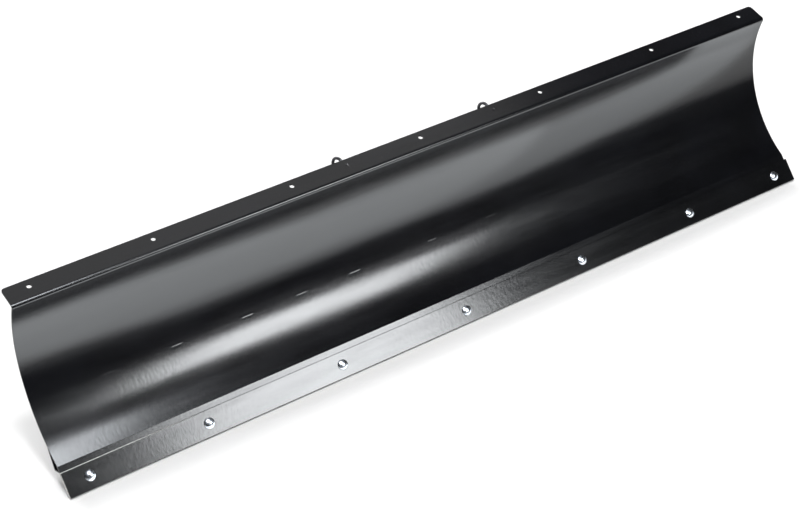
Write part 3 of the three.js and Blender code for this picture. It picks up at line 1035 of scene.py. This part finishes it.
def make_eyebolts():
    bolt = eyebolt_mesh()
    nut = hex_nut(EYE_NUT_ACROSS, EYE_NUT_HEIGHT, EYE_HOLE - GAP)
    levels = {"upper": ANCHOR_Z + ANCHOR + GAP, "lower": ANCHOR_Z - GAP - EYE_NUT_HEIGHT}
    for side in SIDES:
        x = RIB_X[side]
        at = Matrix.Translation((x, EYE_Y, EYE_Z)) @ Matrix.Rotation(EYE_TWIST, 4, "Z")
        show(f"eyebolt_rod_{side}", moved(bolt, at), EYE_STEEL, f"eyebolt_{side}",
             [f"spring_eyebolt_{side}"])
        for level, z in levels.items():
            spin = Matrix.Rotation(rad(random.uniform(0, 60)), 4, "Z")
            at = Matrix.Translation((x, EYE_Y, z)) @ spin
            show(f"lock_nut_{side}_{level}", moved(nut, at), ZINC, "root",
                 [f"eyebolt_nut_{side}_{level}"])


# ---- Pivot pins ----

PIN_GRIP = RIB_CLEAR + 2 * RIB + 2 * GAP
COTTER_AT = PIN_GRIP + PIN_TAIL / 2 + 0.001


def pin_mesh():
    """A headed pin along Z, from the underside of its head at z = 0."""
    r = PIN / 2
    rim = PIN_HEAD / 2
    top = -PIN_HEAD_HEIGHT
    end = PIN_GRIP + PIN_TAIL
    soft = 0.0004               # rounding of the small edges
    chamfer = 0.0014            # of the two ends
    return revolved([
        (0, top), (rim - 3 * soft, top), (rim - soft, top + 1.5 * soft), (rim, top + chamfer),
        (rim, -soft), (rim - soft, 0), (r + soft, 0), (r, soft),
        (r, end - chamfer), (r - soft, end - 2 * soft), (r - chamfer, end), (0, end),
    ])


def cotter_mesh():
    """A split pin of bent wire, its eye on one side of the pin and its legs spread."""
    eye_z = -PIN / 2 - 0.0012 - COTTER_EYE
    wires = []
    for sign in (-1, 1):
        beside = sign * COTTER_WIRE * 0.52
        path = [Vector((0, y * sign, z))
                for y, z in arc((0, eye_z), COTTER_EYE, rad(-90), rad(62), 14)]
        path += [Vector((0, beside, z * PIN)) for z in (-0.56, -0.3, 0, 0.3, 0.52)]
        path += [Vector((0, beside + sign * 0.0008, PIN * 0.6)),
                 Vector((0, sign * 0.0030, PIN * 0.66)), Vector((0, sign * 0.0062, PIN * 0.70))]
        wires.append(swept(path, lambda s: COTTER_WIRE / 2, 12))
    return joined("cotter", wires)


def make_pins():
    quarter = Matrix.Rotation(math.pi / 2, 4, "Y")      # lays the split pin across its pin
    pin = pin_mesh()
    cotter = cotter_mesh()
    for side, sign in SIDES.items():
        x = RIB_X[side] + sign * (RIB_CLEAR / 2 + RIB + GAP)
        inward = Matrix.Rotation(-sign * math.pi / 2, 4, "Y")
        upright = Matrix.Rotation(LEAN, 4, "X")
        at = Matrix.Translation((x, *PIVOT)) @ upright @ inward
        show(f"pin_{side}", moved(pin, at), ZINC, f"pivot_{side}", [f"pivot_pin_{side}"])
        turned = at @ Matrix.Translation((0, 0, COTTER_AT)) @ quarter
        show(f"split_pin_{side}", moved(cotter, turned), ZINC, f"pivot_{side}",
             [f"cotter_pin_{side}"])


# ---- Welds ----

def bead_mesh(start, end, size):
    """A fillet weld bead: a ridge of overlapping ripples that tapers at both ends."""
    length = (end - start).length
    count = max(8, round(length / 0.0006))
    ripple = 0.0019
    phase = random.uniform(0, 1)
    wander = [random.uniform(-1, 1) for _ in range(count + 1)]
    path = [start.lerp(end, i / count) for i in range(count + 1)]

    def radius(share):
        at = share * length
        taper = min(1.0, (min(at, length - at) + 0.0004) / (1.4 * size)) ** 0.5
        wave = 0.9 + 0.1 * abs(math.sin(math.pi * (at / ripple + phase)))
        return size * taper * wave * (1 + 0.04 * wander[min(count, round(share * count))])

    up = Vector((1, 0, 0)) if abs((end - start).normalized().x) < 0.9 else Vector((0, 0, 1))
    return swept(path, radius, 12, up)


def yz(x, point):
    return Vector((x, point[0], point[1]))


def rib_welds(side):
    """Beads that hold one pair of ribs to the flange, the stiffeners and the anchor."""
    beads = []
    notch = BACK_RADIUS + ROLL_Y + MID_DEPTH
    on_outside = [
        (under_flange(RIB_TOP_FRONT - 0.002), under_flange(RIB_TOP_FRONT - 0.016), FLANGE_WELD),
        ((LOW_Y + 0.0005, LOW_Z + 0.006), (LOW_Y + 0.0005, LOW_Z + 0.040), RIB_WELD),
        *(((notch - 0.028, z), (notch - 0.004, z), NOTCH_WELD) for z in MID_SIDES),
    ]
    under_anchor = ((anchor_front() + 0.004, ANCHOR_Z), (ANCHOR_BACK - 0.002, ANCHOR_Z))
    for part in (-1, 1):
        outer = RIB_X[side] + part * (RIB_CLEAR / 2 + RIB)
        inner = RIB_X[side] + part * RIB_CLEAR / 2
        for start, end, size in on_outside:
            beads.append(bead_mesh(yz(outer, start), yz(outer, end), size))
        start, end = under_anchor
        beads.append(bead_mesh(yz(inner, start), yz(inner, end), ANCHOR_WELD))
    return beads


def bead_along(x, length, point, size):
    """A bead along the blade with its middle at x."""
    return bead_mesh(yz(x - length / 2, point), yz(x + length / 2, point), size)


def stitch_welds():
    """Short beads between the skin and the stiffeners, except where a rib is in the way."""
    beads = []
    y_mid = on_roll(BACK_RADIUS, WELD_ANGLE)[0] + 0.0006
    for x in STITCH_X:
        if all(abs(x - at) > 0.04 for at in RIB_X.values()):
            for z in MID_SIDES:
                beads.append(bead_along(x, STITCH_LENGTH, (y_mid, z), STITCH_WELD))
    top = (LOW_Y + 0.0004, roll_back_z(LOW_Y, GAP))
    corner = (LOW_Y - LOW_THICKNESS, LOW_Z - 0.0002)
    toe = (strip_back_y(LOW_Z - LOW_DROP), LOW_Z - LOW_DROP)
    for k in range(-5, 6):
        for point, size in ((top, LOW_WELD), (corner, CORNER_WELD), (toe, TOE_WELD)):
            beads.append(bead_along(0.168 * k, 0.04, point, size))
    return beads


def make_welds():
    for side in SIDES:
        show(f"rib_welds_{side}", joined("welds", rib_welds(side)), BLADE_PAINT, "root")
    show("stitch_welds", joined("welds", stitch_welds()), BLADE_PAINT, "root")


# ---- Studio ----

# The camera looks at AIM from DISTANCE away.
AIM = Vector((-0.088, 0.016, 0.129))
DISTANCE = 3.881
AZIMUTH = rad(-34.92)
ELEVATION = rad(36.28)
LENS = 85.77

TINT_OF_KEY = (0.97, 1.0, 1.02)
TINT_OF_OVERHEAD = (0.955, 1.0, 1.045)
TINT_OF_CARDS = (0.965, 1.0, 1.025)
CARD_HEIGHT = 0.003         # above the floor

# Outlines of the white cards on the floor round the blade, as (X, Y) corners.
NEAR_LEFT = [(0.555, -0.17), (0.1, -0.17), (-0.14, -0.165), (-0.3, -0.15),
             (-0.46, -0.137), (-0.63, -0.122), (-0.88, -0.118)]
NEAR_RIGHT = [(1.2, -0.118), (0.93, -0.118), (0.86, -0.135), (0.7, -0.157), (0.559, -0.168)]
FAR_LEFT = [(-0.84, -0.475), (-0.45, -0.80), (0.555, -0.95)]
FAR_RIGHT = [(0.559, -0.95), (1.08, -0.95), (1.15, -0.55)]
BESIDE_END = rectangle((0.95, 1.2), (-0.116, 0.1))
FAR_AWAY = [(-0.45, -0.81), (0.35, -2.3), (1.65, -2.3), (1.08, -0.96), (0.555, -0.96)]

WORLD_TO_CAMERA = 1.05
WORLD_TO_FLOOR = 0.82
WORLD_IN_GLOSS_FRONT = 0.02
WORLD_IN_GLOSS_BEHIND = 0.2

FLOOR_LIGHT_WIDTH = rad(9)  # as seen from the floor
FLOOR_X = (-1.4, 2.0)
FLOOR_Y = (-0.9, 2.0)
FLOOR_DROP = 0.0003         # keeps the floor just clear of the blade's lowest points


def toward(azimuth, elevation):
    """Unit vector from the object to a place seen at that azimuth and elevation."""
    return Vector((math.sin(azimuth) * math.cos(elevation),
                   -math.cos(azimuth) * math.cos(elevation), math.sin(elevation)))


def make_camera():
    data = bpy.data.cameras.new("camera")
    data.lens = LENS
    data.clip_end = 100
    camera = link(bpy.data.objects.new("camera", data))
    back = toward(AZIMUTH, ELEVATION)
    camera.location = AIM + back * DISTANCE
    camera.rotation_euler = (-back).to_track_quat("-Z", "Y").to_euler()
    bpy.context.scene.camera = camera


def soft_light(name, place, aim, size, radiance, color=(1, 1, 1)):
    """A rectangular light seen only in reflections, with the given radiance."""
    data = bpy.data.lights.new(name, "AREA")
    data.shape = "RECTANGLE"
    data.size, data.size_y = size
    data.color = color
    data.energy = radiance * size[0] * size[1] * math.pi
    lamp = link(bpy.data.objects.new(name, data))
    lamp.location = place
    lamp.rotation_euler = (Vector(aim) - Vector(place)).to_track_quat("-Z", "Y").to_euler()
    lamp.visible_camera = False
    lamp.visible_diffuse = False


def level_sheet(name, outline, z):
    """A flat sheet, and the node tree of its material, which is still plain."""
    mesh = new_mesh(name, [(x, y, z) for x, y in outline], [tuple(range(len(outline)))])
    material = bpy.data.materials.new(name)
    mesh.materials.append(material)
    return link(bpy.data.objects.new(name, mesh)), Tree(material)


def floor_card(name, outline, radiance):
    """A glowing sheet of paper on the floor, slightly cool, seen only in reflections."""
    card, n = level_sheet(name, outline, CARD_HEIGHT)
    n.tree.nodes.clear()
    glow = n.add("ShaderNodeEmission")
    n.feed(glow.inputs["Color"], TINT_OF_CARDS)
    n.feed(glow.inputs["Strength"], radiance)
    n.link(glow.outputs["Emission"], n.add("ShaderNodeOutputMaterial").inputs["Surface"])
    card.visible_camera = False
    card.visible_diffuse = False
    card.visible_shadow = False


def floor_light(name, tilt, strength):
    """A distant light, tilted back or forward, that shades the floor and isn't reflected."""
    data = bpy.data.lights.new(name, "SUN")
    data.angle = FLOOR_LIGHT_WIDTH
    data.energy = strength
    lamp = link(bpy.data.objects.new(name, data))
    lamp.rotation_euler = (tilt, 0, 0)
    lamp.visible_glossy = False


def make_lights():
    soft_light("key", (1.008, -2.406, 1.965), (-0.1, 0, 0.15), (1.125, 0.82), 21.6,
               TINT_OF_KEY)
    soft_light("overhead", (-0.454, -0.939, 2.975), (-0.6, 0, 0.1), (1.16, 1.54), 18.1,
               TINT_OF_OVERHEAD)
    floor_card("card_left", NEAR_LEFT + FAR_LEFT, 4.0)
    floor_card("card_right", NEAR_RIGHT + FAR_RIGHT, 2.8)
    floor_card("card_end", BESIDE_END, 1.8)
    floor_card("card_far", FAR_AWAY, 2.7)
    soft_light("back_top", (0.7, 1.35, 2.85), (0.7, 1.35, 0), (2.6, 0.9), 0.85)
    soft_light("back_panel", (0.05, 1.55, 0.95), (-0.85, -0.05, 0.2), (0.5, 0.9), 14)
    for side in (-1, 1):
        soft_light("back_strip", (side * 1.7, 2.5, 1.1), (side * 0.3, 0, 0.15), (0.7, 1.4), 7)
    floor_light("floor_front", rad(11), 1.2)
    floor_light("floor_back", rad(-31), 1.4)


def make_world():
    """Pale to the camera, soft to the floor; in reflections, dark in front and dim behind."""
    world = bpy.data.worlds.new("studio")
    n = Tree(world)
    n.tree.nodes.clear()

    def background(strength):
        light = n.add("ShaderNodeBackground")
        n.feed(light.inputs["Strength"], strength)
        n.feed(light.inputs["Color"], (1, 1, 1))
        return light.outputs["Background"]

    def mixed(factor, a, b):
        mix = n.add("ShaderNodeMixShader")
        for socket, source in zip(mix.inputs, (factor, a, b)):
            n.link(source, socket)
        return mix.outputs["Shader"]

    rays = n.add("ShaderNodeLightPath").outputs
    split = n.add("ShaderNodeSeparateXYZ")
    n.link(n.add("ShaderNodeTexCoord").outputs["Generated"], split.inputs["Vector"])
    above = n.remap(split.outputs["Z"], -0.02, 0.05, 0, 1)
    behind = n.remap(split.outputs["Y"], 0.2, 0.75, WORLD_IN_GLOSS_FRONT, WORLD_IN_GLOSS_BEHIND)
    seen_in_gloss = background(n.math("MULTIPLY", above, behind))
    inner = mixed(rays["Is Glossy Ray"], background(WORLD_TO_FLOOR), seen_in_gloss)
    both = mixed(rays["Is Camera Ray"], inner, background(WORLD_TO_CAMERA))
    n.link(both, n.add("ShaderNodeOutputWorld").inputs["Surface"])
    bpy.context.scene.world = world


def make_floor():
    floor, n = level_sheet("floor", rectangle(FLOOR_X, FLOOR_Y), -FLOOR_DROP)
    shader = n.tree.nodes["Principled BSDF"]
    shader.inputs["Base Color"].default_value = (0.8, 0.8, 0.8, 1)
    shader.inputs["Roughness"].default_value = 0.9
    shader.inputs["Specular IOR Level"].default_value = 0.1


make_camera()
make_world()
make_lights()
make_floor()
make_moldboard()
make_wear_bar()
make_fasteners()
make_stiffeners()
make_ribs()
make_anchors()
make_eyebolts()
make_pins()
make_welds()
bpy.context.scene.view_settings.view_transform = "Standard"
